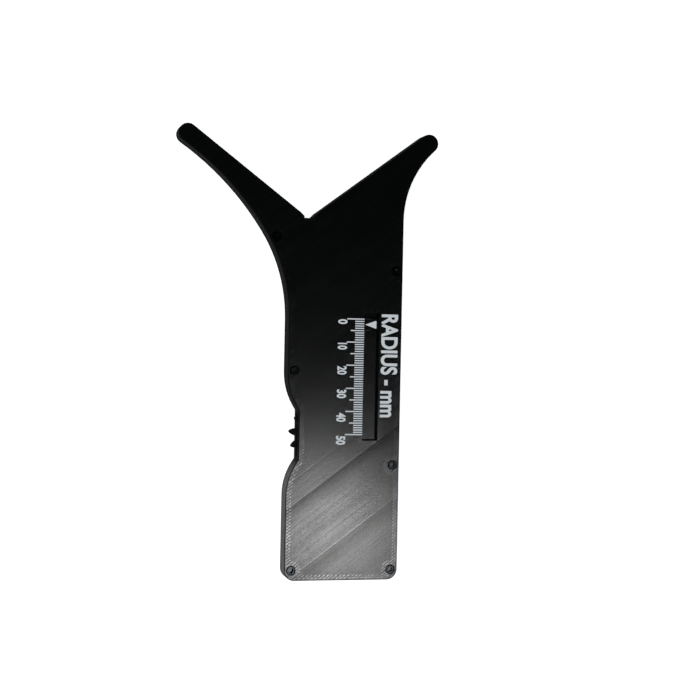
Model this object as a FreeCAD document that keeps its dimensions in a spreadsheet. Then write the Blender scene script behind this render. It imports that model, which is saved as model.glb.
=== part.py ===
import FreeCAD, Part
import math
import os
import Sketcher
from fcgear import fcgear, involute

# Adjustable radius gauge, printed in two shells. A round work piece rests in a V whose faces
# rise 3 in 4, a flat-ended probe on the V's axis touches it, and a rack, pinion and gear move
# a pointer four times as far, so one millimetre of scale is one millimetre of radius.
# The origin is the V's theoretical vertex on the back face. +Y runs out of the V along its
# axis, +X to the right seen from the front, and +Z out of the front face.

doc = FreeCAD.newDocument("radius_gauge")
sheet = doc.addObject("Spreadsheet::Sheet", "Sizes")

# Driving dimensions: name, number in millimetres unless the meaning says otherwise, meaning
SIZES = [
    # The V and its two arms
    ("arm_slope", 36.8699, "slope of each V face, a 3 4 5 triangle, degrees"),
    ("arm_length", 63.0, "from the vertex to the end of a V face"),
    ("arm_tip_radius", 4.0, "round end of an arm"),
    ("right_sweep", 42.0, "hollow sweep from the right arm into the side"),
    ("left_sweep", 125.0, "hollow sweep below the left arm"),
    ("left_blend", 70.0, "tighter sweep that leads it into the left side"),
    ("left_blend_down", 43.0, "end of that sweep below the vertex"),
    ("notch_half", 3.6, "half width of the notch where it leaves the V faces"),
    ("notch_slope", 45.0, "slope of the notch sides, degrees"),
    ("notch_floor", 0.3, "notch floor below the vertex"),
    # The long body
    ("side_left", 8.1, "left side from the V axis"),
    ("side_right", 41.9, "right side from the V axis"),
    ("body_bottom", 155.6, "lower end from the vertex"),
    ("corner_radius", 4.5, "two lower corners"),
    ("hollow_edge", 2.9, "floor of the thumb hollow from the V axis"),
    ("hollow_half", 10.6, "half length of the thumb hollow floor"),
    ("hollow_top_sweep", 29.0, "rounding above the thumb hollow"),
    ("hollow_low_sweep", 26.0, "rounding below the thumb hollow"),
    ("case_depth", 7.0, "rear housing, back face to joint face"),
    ("cover_thick", 3.0, "front cover"),
    ("floor_thick", 1.5, "back wall of the housing"),
    ("ledge_height", 4.2, "ledge that carries the gear and the pointer slide"),
    ("edge_break", 0.4, "chamfer round the front and back faces"),
    # The thumb gear and its pinion
    ("gear_right", 6.2, "gear centre from the V axis"),
    ("gear_down", 92.9, "gear centre below the vertex"),
    ("big_module", 1.8, "module of the thumb gear"),
    ("big_teeth", 12, "teeth of the thumb gear"),
    ("big_root_gap", 0.45, "root clearance of the thumb gear"),
    ("small_module", 0.6, "module of the pinion"),
    ("small_teeth", 9, "teeth of the pinion"),
    ("small_share", 0.8, "stub tooth height of the pinion in modules"),
    ("small_root_gap", 0.15, "root clearance of the pinion"),
    ("root_round", 1.2, "root rounding of both over their root clearance"),
    ("tooth_angle", 25.0, "pressure angle, degrees"),
    ("backlash", 0.2, "taken off each rack tooth at the pitch line"),
    ("gear_phase", 23.3, "angle of one thumb gear tooth from +X at rest, degrees"),
    ("axle_radius", 1.0, "steel dowel that carries the gear"),
    ("axle_seat", 1.0, "dowel sunk in each shell"),
    ("axle_gap", 0.06, "running clearance round the dowel"),
    # The probe
    ("blade_half", 1.9, "half width of the probe blade"),
    ("blade_length", 16.6, "blade, from its end to the shoulder"),
    ("gear_clear", 8.3, "from the probe's thick bar to the thumb gear's teeth"),
    ("probe_rack_teeth", 10, "rack teeth of the probe"),
    ("probe_teeth_up", 1, "probe rack teeth wholly above the gear centre's first"),
    ("rack_lead", 0.7, "from the probe's first tooth to its full bar, in pitches"),
    # The pointer slide and the scale
    ("scale_zero", 42.5, "zero line below the vertex"),
    ("scale_span", 50.0, "length of the scale"),
    ("rest_reading", 2.34, "reading as the gauge lies"),
    ("slot_left", 25.1, "left edge of the pointer slot"),
    ("slot_width", 6.8, "pointer slot"),
    ("block_half", 2.5, "half height of the pointer block"),
    ("slide_lip", 0.9, "slide past the right edge of the slot"),
    ("slide_rack_teeth", 11, "rack teeth of the slide"),
    ("slide_teeth_up", 9, "slide rack teeth above the gear centre's first"),
    ("arrow_length", 5.0, "white pointer triangle"),
    ("arrow_half", 1.8, "half its base"),
    ("tick_pitch", 1.0, "between two scale lines"),
    ("tick_width", 0.5, "one scale line"),
    ("tick_reach", 4.0, "short line, out from the slot"),
    ("five_reach", 5.9, "line at each five"),
    ("ten_reach", 7.6, "line at each ten"),
    ("fives_step", 5, "short lines to each five"),
    ("tens_step", 10, "short lines to each ten"),
    ("inlay_depth", 0.4, "white inlays in the front"),
    # Clearances
    ("slide_gap", 0.15, "sideways running clearance"),
    ("height_gap", 0.1, "running clearance above and below"),
    ("end_gap", 0.5, "past the end of each travel"),
    # Screws and inserts, three down each side
    ("screw_top_left_x", -14.0, "screw in the left arm"),
    ("screw_top_left_y", -8.0, "screw in the left arm"),
    ("screw_left_y", -65.1, "screw above the thumb hollow"),
    ("screw_inset", 3.0, "the other five screws, in from the side they stand along"),
    ("screw_lift", 4.5, "two screws at the lower end, up from it"),
    ("screw_top_right_y", -21.5, "screw below the right arm"),
    ("screw_right_y", -105.7, "screw beside the pointer slide"),
    ("head_radius", 1.9, "screw head"),
    ("head_height", 2.0, "screw head"),
    ("head_sunk", 0.1, "head below the front face"),
    ("head_gap", 0.2, "round the head in its counterbore"),
    ("socket_radius", 0.85, "hexagon socket, corner radius"),
    ("socket_depth", 1.0, "hexagon socket"),
    ("shank_radius", 1.0, "screw shank"),
    ("shank_length", 5.0, "screw shank"),
    ("shank_gap", 0.1, "round the shank"),
    ("insert_radius", 1.6, "brass insert"),
    ("insert_length", 3.0, "brass insert"),
]
for row, (name, number, meaning) in enumerate(SIZES, 1):
    sheet.set(f"A{row}", "'" + meaning)
    sheet.set(f"B{row}", str(number))
    sheet.setAlias(f"B{row}", name)
doc.recompute()

BIG_R = "(Sizes.big_module * Sizes.big_teeth / 2)"
BIG_TIP = f"({BIG_R} + Sizes.big_module)"
BIG_ROOT_DEPTH = "(Sizes.big_module + Sizes.big_root_gap)"
BIG_PITCH = "(Sizes.big_module * pi)"
SMALL_R = "(Sizes.small_module * Sizes.small_teeth / 2)"
SMALL_TOP = "(Sizes.small_module * Sizes.small_share)"
SMALL_ROOT_DEPTH = f"({SMALL_TOP} + Sizes.small_root_gap)"
SMALL_PITCH = "(Sizes.small_module * pi)"
GEAR_X = "Sizes.gear_right"
GEAR_Y = "(-Sizes.gear_down)"
PROBE_PITCH_X = f"({GEAR_X} - {SMALL_R})"
SLIDE_PITCH_X = f"({GEAR_X} + {BIG_R})"
FRONT = "(Sizes.case_depth + Sizes.cover_thick)"
PROBE_RIGHT = f"({PROBE_PITCH_X} + {SMALL_TOP})"
LIFT_SHARE = "(1 / cos(Sizes.arm_slope) - 1)"
TIP_Y = f"(Sizes.rest_reading * {LIFT_SHARE})"
FULL_LIFT = f"(Sizes.scale_span * {LIFT_SHARE})"
ARROW_Y = "(-Sizes.scale_zero - Sizes.rest_reading)"
SLOT_RIGHT = "(Sizes.slot_left + Sizes.slot_width)"
SLIDE_RIGHT = f"({SLOT_RIGHT} + Sizes.slide_lip)"
MESH_ANGLE = "(Sizes.gear_phase - 360 / Sizes.big_teeth)"
BLOCK_LEFT = "(Sizes.slot_left + 2 * Sizes.slide_gap)"
BLOCK_RIGHT = f"({SLOT_RIGHT} - 2 * Sizes.slide_gap)"
HEAD_SEAT = f"({FRONT} - Sizes.head_sunk - Sizes.head_height)"
PROBE_FIRST = f"({GEAR_Y} + (Sizes.probe_teeth_up + 0.5) * {SMALL_PITCH})"
PROBE_LOW = f"({PROBE_FIRST} - Sizes.probe_rack_teeth * {SMALL_PITCH} - Sizes.end_gap)"
MESH_Y = f"({GEAR_Y} + {BIG_R} * {MESH_ANGLE} * pi / 180)"
SLIDE_FIRST = f"({MESH_Y} + (Sizes.slide_teeth_up + 0.5) * {BIG_PITCH})"
SLIDE_TOP = f"({SLIDE_FIRST} + {BIG_PITCH} / 2)"
SLIDE_LOW = f"({SLIDE_TOP} - Sizes.slide_rack_teeth * {BIG_PITCH})"
LEFT_SCREW_X = "(Sizes.screw_inset - Sizes.side_left)"
RIGHT_SCREW_X = "(Sizes.side_right - Sizes.screw_inset)"
LOW_SCREW_Y = "(Sizes.screw_lift - Sizes.body_bottom)"
SCREW_PLACES = [
    ("Sizes.screw_top_left_x", "Sizes.screw_top_left_y"),
    (RIGHT_SCREW_X, "Sizes.screw_top_right_y"),
    (LEFT_SCREW_X, "Sizes.screw_left_y"),
    (RIGHT_SCREW_X, "Sizes.screw_right_y"),
    (LEFT_SCREW_X, LOW_SCREW_Y),
    (RIGHT_SCREW_X, LOW_SCREW_Y),
]
FLAT = 1e-6
LEAST_CUT = 1e-3
parts = []
cuts = []


def value(expression):
    """Number that an expression over the sheet gives now."""
    return float(sheet.evalExpression(str(expression)))


def new_body(label):
    body = doc.addObject("PartDesign::Body", label)
    body.Label = label
    body.AllowCompound = True
    parts.append(body)
    return body


def new_sketch(body, height="0"):
    """Sketch on the body's own XY plane, lifted to a height."""
    sketch = body.newObject("Sketcher::SketchObject", body.Label + "_sketch")
    plane = next(f for f in body.Origin.OriginFeatures if f.Role == "XY_Plane")
    sketch.AttachmentSupport = [(plane, "")]
    sketch.MapMode = "FlatFace"
    sketch.setExpression("AttachmentOffset.Base.z", height)
    return sketch


def dimension(sketch, kind, places, expression, unit=1.0):
    """Dimension bound to an expression. A unit of one degree is given for an angle."""
    index = sketch.addConstraint(Sketcher.Constraint(kind, *places, value(expression) * unit))
    name = f"{kind}_{index}"
    sketch.renameConstraint(index, name)
    bound = expression if unit == 1.0 else f"({expression}) * 1 deg"
    sketch.setExpression("Constraints." + name, bound)


def place(sketch, geometry, point, x, y):
    dimension(sketch, "DistanceX", (-1, 1, geometry, point), x)
    dimension(sketch, "DistanceY", (-1, 1, geometry, point), y)


def polygon(sketch, corners):
    """Closed outline of straight lines through corners given as pairs of expressions."""
    points = [FreeCAD.Vector(value(x), value(y), 0) for x, y in corners]
    first = sketch.GeometryCount
    for here, there in zip(points, points[1:] + points[:1]):
        sketch.addGeometry(Part.LineSegment(here, there), False)
    for i, (x, y) in enumerate(corners):
        follower = first + (i + 1) % len(corners)
        sketch.addConstraint(Sketcher.Constraint("Coincident", first + i, 2, follower, 1))
        place(sketch, first + i, 1, x, y)


def rectangle(sketch, left, right, low, high):
    polygon(sketch, [(left, low), (right, low), (right, high), (left, high)])


def circle(sketch, x, y, radius):
    centre = FreeCAD.Vector(value(x), value(y), 0)
    ring = sketch.addGeometry(Part.Circle(centre, FreeCAD.Vector(0, 0, 1), value(radius)), False)
    dimension(sketch, "Radius", (ring,), radius)
    place(sketch, ring, 3, x, y)


def pad(body, sketch, length):
    feature = body.newObject("PartDesign::Pad", body.Label + "_pad")
    feature.Profile = sketch
    feature.setExpression("Length", length)
    body.Tip = feature
    return feature


def pocket(body, sketch, depth, upward=False):
    feature = body.newObject("PartDesign::Pocket", body.Label + "_pocket")
    feature.Profile = sketch
    feature.Reversed = upward
    feature.setExpression("Length", depth)
    body.Tip = feature
    cuts.append(feature)
    return feature


def repeat_down(body, feature, sketch, pitch, count):
    """Copies of a feature at a pitch, towards -Y."""
    pattern = body.newObject("PartDesign::LinearPattern", body.Label + "_pattern")
    pattern.Originals = [feature]
    pattern.Direction = (sketch, ["V_Axis"])
    pattern.Reversed = True
    pattern.setExpression("Length", f"{pitch} * ({count} - 1)")
    pattern.setExpression("Occurrences", count)
    body.Tip = pattern


def break_edges(body, base, height):
    """Chamfer round the flat face that lies at a height."""
    doc.recompute()
    flat = []
    for number, face in enumerate(base.Shape.Faces, 1):
        box = face.BoundBox
        if abs(box.ZMin - height) < FLAT and abs(box.ZMax - height) < FLAT:
            flat.append(f"Face{number}")
    chamfer = body.newObject("PartDesign::Chamfer", body.Label + "_edge")
    chamfer.Base = (base, flat)
    chamfer.setExpression("Size", "Sizes.edge_break")
    body.Tip = chamfer


def arc_between(sketch, centre, radius, angle_from, angle_to):
    """Adds an arc and gives its number and its point numbers in the order of travel."""
    low, high = min(angle_from, angle_to), max(angle_from, angle_to)
    ring = Part.Circle(FreeCAD.Vector(*centre, 0), FreeCAD.Vector(0, 0, 1), radius)
    number = sketch.addGeometry(Part.ArcOfCircle(ring, low, high), False)
    return (number, 1, 2) if angle_to > angle_from else (number, 2, 1)


def outline(body, height):
    """Outline that both shells share, drawn clockwise from the V's right face."""
    sketch = new_sketch(body, height)
    slope = math.radians(value("Sizes.arm_slope"))
    rise = math.tan(slope)
    left, right = -value("Sizes.side_left"), value("Sizes.side_right")
    bottom, corner = -value("Sizes.body_bottom"), value("Sizes.corner_radius")
    arm, tip = value("Sizes.arm_length"), value("Sizes.arm_tip_radius")
    tip_x = arm * math.cos(slope) + tip * math.sin(slope)
    tip_y = arm * math.sin(slope) - tip * math.cos(slope)
    face_end = (arm * math.cos(slope), arm * math.sin(slope))
    sweep_r, sweep_l = value("Sizes.right_sweep"), value("Sizes.left_sweep")
    turn_r = math.acos((right + sweep_r - tip_x) / (sweep_r + tip))
    start_r = tip_y - (sweep_r + tip) * math.sin(turn_r)
    blend, start_l = value("Sizes.left_blend"), -value("Sizes.left_blend_down")
    from_tip = FreeCAD.Vector(left - blend + tip_x, start_l - tip_y, 0)
    apart = sweep_l - blend
    along = (from_tip.Length ** 2 + apart ** 2 - (sweep_l + tip) ** 2) / (2 * apart)
    blend_turn = math.atan2(from_tip.y, from_tip.x) + math.acos(along / from_tip.Length)
    sweep_x = left - blend - apart * math.cos(blend_turn)
    sweep_y = start_l - apart * math.sin(blend_turn)
    turn_l = math.atan2(tip_y - sweep_y, -tip_x - sweep_x)
    edge = -value("Sizes.hollow_edge")
    flat_low = value(f"{GEAR_Y} - Sizes.hollow_half")
    flat_high = value(f"{GEAR_Y} + Sizes.hollow_half")
    low_r, top_r = value("Sizes.hollow_low_sweep"), value("Sizes.hollow_top_sweep")
    low_turn = math.acos((low_r + left - edge) / low_r)
    top_turn = math.acos((top_r + left - edge) / top_r)
    hollow_low = flat_low - low_r * math.sin(low_turn)
    hollow_top = flat_high + top_r * math.sin(top_turn)
    notch, channel = value("Sizes.notch_half"), value("Sizes.blade_half + Sizes.slide_gap")
    shelf = notch * rise - (notch - channel) * math.tan(math.radians(value("Sizes.notch_slope")))
    floor = -value("Sizes.notch_floor")
    half_turn = math.pi

    def line(start, end):
        segment = Part.LineSegment(FreeCAD.Vector(*start, 0), FreeCAD.Vector(*end, 0))
        return (sketch.addGeometry(segment, False), 1, 2)

    def arc(centre, radius, angle_from, angle_to):
        return arc_between(sketch, centre, radius, angle_from, angle_to)

    face_right = line((notch, notch * rise), face_end)
    tip_right = arc((tip_x, tip_y), tip, half_turn / 2 + slope, -turn_r)
    sweep_right = arc((right + sweep_r, start_r), sweep_r, half_turn - turn_r, half_turn)
    side_right = line((right, start_r), (right, bottom + corner))
    corner_right = arc((right - corner, bottom + corner), corner, 0, -half_turn / 2)
    base = line((right - corner, bottom), (left + corner, bottom))
    corner_left = arc((left + corner, bottom + corner), corner, 1.5 * half_turn, half_turn)
    side_low = line((left, bottom + corner), (left, hollow_low))
    round_low = arc((left + low_r, hollow_low), low_r, half_turn, half_turn - low_turn)
    hollow = line((edge, flat_low), (edge, flat_high))
    round_top = arc((left + top_r, hollow_top), top_r, half_turn + top_turn, half_turn)
    side_top = line((left, hollow_top), (left, start_l))
    blend_left = arc((left - blend, start_l), blend, 0, blend_turn)
    sweep_left = arc((sweep_x, sweep_y), sweep_l, blend_turn, turn_l)
    tip_left = arc((-tip_x, tip_y), tip, half_turn + turn_l, half_turn / 2 - slope)
    face_left = line((-face_end[0], face_end[1]), (-notch, notch * rise))
    bevel_left = line((-notch, notch * rise), (-channel, shelf))
    wall_left = line((-channel, shelf), (-channel, floor))
    notch_base = line((-channel, floor), (channel, floor))
    wall_right = line((channel, floor), (channel, shelf))
    bevel_right = line((channel, shelf), (notch, notch * rise))

    path = [
        (face_right, "Tangent"), (tip_right, "Tangent"), (sweep_right, "Tangent"),
        (side_right, "Tangent"), (corner_right, "Tangent"), (base, "Tangent"),
        (corner_left, "Tangent"), (side_low, "Tangent"), (round_low, "Coincident"),
        (hollow, "Coincident"), (round_top, "Tangent"), (side_top, "Tangent"),
        (blend_left, "Tangent"), (sweep_left, "Tangent"), (tip_left, "Tangent"),
        (face_left, "Coincident"), (bevel_left, "Coincident"), (wall_left, "Coincident"),
        (notch_base, "Coincident"), (wall_right, "Coincident"), (bevel_right, "Coincident"),
    ]
    for (piece, joint), (follower, _) in zip(path, path[1:] + path[:1]):
        ends = (piece[0], piece[2], follower[0], follower[1])
        sketch.addConstraint(Sketcher.Constraint(joint, *ends))
    for upright in (side_right, side_low, hollow, side_top, wall_left, wall_right):
        sketch.addConstraint(Sketcher.Constraint("Vertical", upright[0]))
    for level in (base, notch_base):
        sketch.addConstraint(Sketcher.Constraint("Horizontal", level[0]))
    sketch.addConstraint(Sketcher.Constraint("PointOnObject", -1, 1, face_right[0]))
    for mine, twin in (((face_right[0], 1), (face_left[0], 2)),
                       ((face_right[0], 2), (face_left[0], 1)),
                       ((bevel_right[0], 1), (bevel_left[0], 2))):
        sketch.addConstraint(Sketcher.Constraint("Symmetric", *mine, *twin, -2))
    degree = math.radians(1)
    dimension(sketch, "Angle", (face_right[0],), "Sizes.arm_slope", degree)
    dimension(sketch, "Angle", (bevel_right[0],), "Sizes.notch_slope", degree)
    dimension(sketch, "Distance", (-1, 1, face_right[0], 2), "Sizes.arm_length")
    dimension(sketch, "DistanceX", (-1, 1, face_right[0], 1), "Sizes.notch_half")
    dimension(sketch, "DistanceX", (-1, 1, wall_right[0], 1), "Sizes.blade_half + Sizes.slide_gap")
    dimension(sketch, "DistanceY", (-1, 1, wall_right[0], 1), "-Sizes.notch_floor")
    dimension(sketch, "DistanceX", (-1, 1, side_right[0], 1), "Sizes.side_right")
    dimension(sketch, "DistanceY", (-1, 1, base[0], 1), "-Sizes.body_bottom")
    dimension(sketch, "DistanceX", (-1, 1, side_low[0], 1), "-Sizes.side_left")
    dimension(sketch, "DistanceX", (-1, 1, side_top[0], 1), "-Sizes.side_left")
    dimension(sketch, "DistanceY", (-1, 1, side_top[0], 2), "-Sizes.left_blend_down")
    dimension(sketch, "DistanceX", (-1, 1, hollow[0], 1), "-Sizes.hollow_edge")
    dimension(sketch, "DistanceY", (-1, 1, hollow[0], 1), f"{GEAR_Y} - Sizes.hollow_half")
    dimension(sketch, "DistanceY", (-1, 1, hollow[0], 2), f"{GEAR_Y} + Sizes.hollow_half")
    for bend, radius in ((tip_right, "arm_tip_radius"), (tip_left, "arm_tip_radius"),
                         (sweep_right, "right_sweep"), (sweep_left, "left_sweep"),
                         (blend_left, "left_blend"),
                         (corner_right, "corner_radius"), (corner_left, "corner_radius"),
                         (round_low, "hollow_low_sweep"), (round_top, "hollow_top_sweep")):
        dimension(sketch, "Radius", (bend[0],), "Sizes." + radius)
    return sketch


def rear_housing():
    """Tray with the arms, the probe's channel and the pockets of the gear and the slide."""
    body = new_body("rear_housing")
    shell = pad(body, outline(body, "0"), "Sizes.case_depth")
    break_edges(body, shell, 0.0)
    to_floor = "Sizes.case_depth - Sizes.floor_thick"
    to_ledge = "Sizes.case_depth - Sizes.ledge_height"

    blade = new_sketch(body, "Sizes.case_depth")
    channel = "(Sizes.blade_half + Sizes.slide_gap)"
    shoulder = f"(-Sizes.blade_length + {FULL_LIFT} + Sizes.end_gap)"
    rectangle(blade, f"-{channel}", channel, f"{shoulder} - Sizes.end_gap",
              "Sizes.end_gap - Sizes.notch_floor")
    pocket(body, blade, to_floor)

    bar = new_sketch(body, "Sizes.case_depth")
    rectangle(bar, f"-{channel}", f"{PROBE_RIGHT} + Sizes.slide_gap",
              f"{PROBE_LOW} - {TIP_Y} - Sizes.end_gap", shoulder)
    pocket(body, bar, to_floor)

    pinion = new_sketch(body, "Sizes.case_depth")
    circle(pinion, GEAR_X, GEAR_Y, f"{SMALL_R} + {SMALL_TOP} + Sizes.end_gap")
    pocket(body, pinion, to_floor)

    gear = new_sketch(body, "Sizes.case_depth")
    circle(gear, GEAR_X, GEAR_Y, f"{BIG_TIP} + Sizes.end_gap")
    pocket(body, gear, to_ledge)

    slide = new_sketch(body, "Sizes.case_depth")
    rectangle(slide, f"{SLIDE_PITCH_X} - Sizes.big_module - 2 * Sizes.slide_gap",
              f"{SLIDE_RIGHT} + 2 * Sizes.slide_gap",
              f"{SLIDE_LOW} + Sizes.rest_reading - Sizes.scale_span - Sizes.end_gap",
              f"{SLIDE_TOP} + Sizes.rest_reading + Sizes.end_gap")
    pocket(body, slide, to_ledge)

    dowel = new_sketch(body, "Sizes.floor_thick")
    circle(dowel, GEAR_X, GEAR_Y, "Sizes.axle_radius")
    pocket(body, dowel, "Sizes.axle_seat")

    inserts = new_sketch(body, "Sizes.case_depth")
    for x, y in SCREW_PLACES:
        circle(inserts, x, y, "Sizes.insert_radius")
    pocket(body, inserts, "Sizes.insert_length")

    shanks = new_sketch(body, "Sizes.case_depth - Sizes.insert_length")
    for x, y in SCREW_PLACES:
        circle(shanks, x, y, "Sizes.shank_radius + Sizes.shank_gap")
    pocket(body, shanks, f"Sizes.case_depth - Sizes.insert_length - {HEAD_SEAT}"
                         " + Sizes.shank_length + 2 * Sizes.height_gap")


def front_cover():
    """Plate with the arms, the pointer slot, sunk screw seats and the scale's recesses."""
    body = new_body("front_cover")
    plate = pad(body, outline(body, "Sizes.case_depth"), "Sizes.cover_thick")
    break_edges(body, plate, value(FRONT))

    slot = new_sketch(body, FRONT)
    rectangle(slot, "Sizes.slot_left", SLOT_RIGHT,
              "-Sizes.scale_zero - Sizes.scale_span - Sizes.block_half - Sizes.height_gap",
              "-Sizes.scale_zero + Sizes.block_half + Sizes.height_gap")
    pocket(body, slot, "Sizes.cover_thick")

    heads = new_sketch(body, FRONT)
    for x, y in SCREW_PLACES:
        circle(heads, x, y, "Sizes.head_radius + Sizes.head_gap")
    pocket(body, heads, "Sizes.head_height + Sizes.head_sunk")

    shanks = new_sketch(body, HEAD_SEAT)
    for x, y in SCREW_PLACES:
        circle(shanks, x, y, "Sizes.shank_radius + Sizes.shank_gap")
    pocket(body, shanks, f"{HEAD_SEAT} - Sizes.case_depth")

    dowel = new_sketch(body, "Sizes.case_depth")
    circle(dowel, GEAR_X, GEAR_Y, "Sizes.axle_radius")
    pocket(body, dowel, "Sizes.axle_seat", upward=True)

    for sketch, pitch, count in scale_lines(body, FRONT):
        groove = pocket(body, sketch, "Sizes.inlay_depth")
        repeat_down(body, groove, sketch, pitch, count)


def scale_lines(body, height):
    """Sketch, pitch and count of the short lines and of the longer fives and tens."""
    spans = [
        ("0", "Sizes.tick_reach", "1"),
        ("Sizes.tick_reach", "Sizes.five_reach", "Sizes.fives_step"),
        ("Sizes.five_reach", "Sizes.ten_reach", "Sizes.tens_step"),
    ]
    for near, far, step in spans:
        sketch = new_sketch(body, height)
        rectangle(sketch, f"Sizes.slot_left - {far}", f"Sizes.slot_left - {near}",
                  "-Sizes.scale_zero - Sizes.tick_width / 2",
                  "-Sizes.scale_zero + Sizes.tick_width / 2")
        pitch = f"Sizes.tick_pitch * {step}"
        yield sketch, pitch, f"floor(Sizes.scale_span / ({pitch})) + 1"


def scale_marks():
    """White lines laid in the cover, one to a millimetre."""
    body = new_body("scale_marks")
    for sketch, pitch, count in scale_lines(body, f"{FRONT} - Sizes.inlay_depth"):
        mark = pad(body, sketch, "Sizes.inlay_depth")
        repeat_down(body, mark, sketch, pitch, count)


def rack_tooth(body, height, length, pitch_x, side, tooth):
    """One straight rack tooth that points to a side, +1 right or -1 left, and its pattern.

    tooth holds the pitch, the height above and the depth below the pitch line, the place
    of the first tooth and the number of teeth.
    """
    pitch, above, below, first_y, count = tooth
    sketch = new_sketch(body, height)
    half = f"({pitch} / 2 - Sizes.backlash) / 2"
    half_top = f"({half} - {above} * tan(Sizes.tooth_angle))"
    half_root = f"({half} + {below} * tan(Sizes.tooth_angle))"
    top_x = f"{pitch_x} + {side} * {above}"
    root_x = f"{pitch_x} - {side} * {below}"
    inner_x = f"{root_x} - {side} * {above}"
    polygon(sketch, [
        (inner_x, f"{first_y} - {half_root}"), (root_x, f"{first_y} - {half_root}"),
        (top_x, f"{first_y} - {half_top}"), (top_x, f"{first_y} + {half_top}"),
        (root_x, f"{first_y} + {half_root}"), (inner_x, f"{first_y} + {half_root}"),
    ])
    repeat_down(body, pad(body, sketch, length), sketch, pitch, count)


def probe():
    """Sliding probe: blade, thick bar, and a thin tail with a rack that passes the gear."""
    body = new_body("probe")
    bottom = "(Sizes.floor_thick + Sizes.height_gap)"
    thick = "(Sizes.case_depth - Sizes.floor_thick - 2 * Sizes.height_gap)"
    thin = "(Sizes.ledge_height - Sizes.floor_thick - 2 * Sizes.height_gap)"
    shoulder = f"({TIP_Y} - Sizes.blade_length)"
    step = f"({GEAR_Y} + {BIG_TIP} + Sizes.gear_clear)"
    root_x = f"({PROBE_PITCH_X} - {SMALL_ROOT_DEPTH})"
    rack_top = f"({PROBE_FIRST} + Sizes.rack_lead * {SMALL_PITCH})"

    upper = new_sketch(body, bottom)
    polygon(upper, [
        ("-Sizes.blade_half", step), (PROBE_RIGHT, step), (PROBE_RIGHT, shoulder),
        ("Sizes.blade_half", shoulder), ("Sizes.blade_half", TIP_Y), ("-Sizes.blade_half", TIP_Y),
    ])
    pad(body, upper, thick)

    tail = new_sketch(body, bottom)
    polygon(tail, [
        ("-Sizes.blade_half", PROBE_LOW), (root_x, PROBE_LOW), (root_x, rack_top),
        (PROBE_RIGHT, rack_top), (PROBE_RIGHT, step), ("-Sizes.blade_half", step),
    ])
    pad(body, tail, thin)
    tooth = (SMALL_PITCH, SMALL_TOP, SMALL_ROOT_DEPTH, PROBE_FIRST, "Sizes.probe_rack_teeth")
    rack_tooth(body, bottom, thin, PROBE_PITCH_X, 1, tooth)


def pointer_slide():
    """Sliding bar with a coarse rack, and the block that shows in the slot."""
    body = new_body("pointer_slide")
    bottom = "(Sizes.ledge_height + Sizes.height_gap)"
    thick = "(Sizes.case_depth - Sizes.ledge_height - 2 * Sizes.height_gap)"
    root_x = f"({SLIDE_PITCH_X} + {BIG_ROOT_DEPTH})"
    bar = new_sketch(body, bottom)
    rectangle(bar, root_x, SLIDE_RIGHT, SLIDE_LOW, SLIDE_TOP)
    pad(body, bar, thick)
    tooth = (BIG_PITCH, "Sizes.big_module", BIG_ROOT_DEPTH, SLIDE_FIRST, "Sizes.slide_rack_teeth")
    rack_tooth(body, bottom, thick, SLIDE_PITCH_X, -1, tooth)

    block = new_sketch(body, f"{bottom} + {thick}")
    rectangle(block, BLOCK_LEFT, BLOCK_RIGHT,
              f"{ARROW_Y} - Sizes.block_half", f"{ARROW_Y} + Sizes.block_half")
    pad(body, block, "Sizes.cover_thick")

    seat = new_sketch(body, f"{bottom} + {thick} + Sizes.cover_thick")
    arrow(seat)
    pocket(body, seat, "Sizes.inlay_depth")


def arrow(sketch):
    """Triangle whose tip points left to the scale."""
    tip_x = f"({BLOCK_LEFT} + Sizes.slide_gap)"
    base_x = f"({tip_x} + Sizes.arrow_length)"
    polygon(sketch, [(tip_x, ARROW_Y), (base_x, f"{ARROW_Y} - Sizes.arrow_half"),
                     (base_x, f"{ARROW_Y} + Sizes.arrow_half")])


def pointer_arrow():
    """White triangle laid in the pointer block."""
    body = new_body("pointer_arrow")
    sketch = new_sketch(body, f"{FRONT} - Sizes.height_gap - Sizes.inlay_depth")
    arrow(sketch)
    pad(body, sketch, "Sizes.inlay_depth")


def tooth_ring(name, module, teeth, above, below):
    """Face with involute teeth, one of them centred on +X."""
    ring = fcgear.FCWireBuilder()
    involute.CreateExternalGear(
        ring, value(module), int(round(value(teeth))), value("Sizes.tooth_angle"), False,
        value(above), value(below), value(f"({below} - {above}) * Sizes.root_round"), 0.0)
    profile = doc.addObject("Part::Feature", name + "_profile")
    profile.Shape = Part.Face(Part.Wire([edge.toShape() for edge in ring.wire]))
    return profile


def disc_of(profile, name, low, thick, turn):
    """Toothed disc raised from its profile, set at the gear's centre and turned."""
    disc = doc.addObject("Part::Extrusion", name)
    disc.Base = profile
    disc.DirMode = "Custom"
    disc.Dir = FreeCAD.Vector(0, 0, 1)
    disc.Solid = True
    disc.setExpression("LengthFwd", thick)
    disc.setExpression("Placement.Base.x", GEAR_X)
    disc.setExpression("Placement.Base.y", GEAR_Y)
    disc.setExpression("Placement.Base.z", low)
    disc.Placement.Rotation = FreeCAD.Rotation(FreeCAD.Vector(0, 0, 1), value(turn))
    return disc


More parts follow.
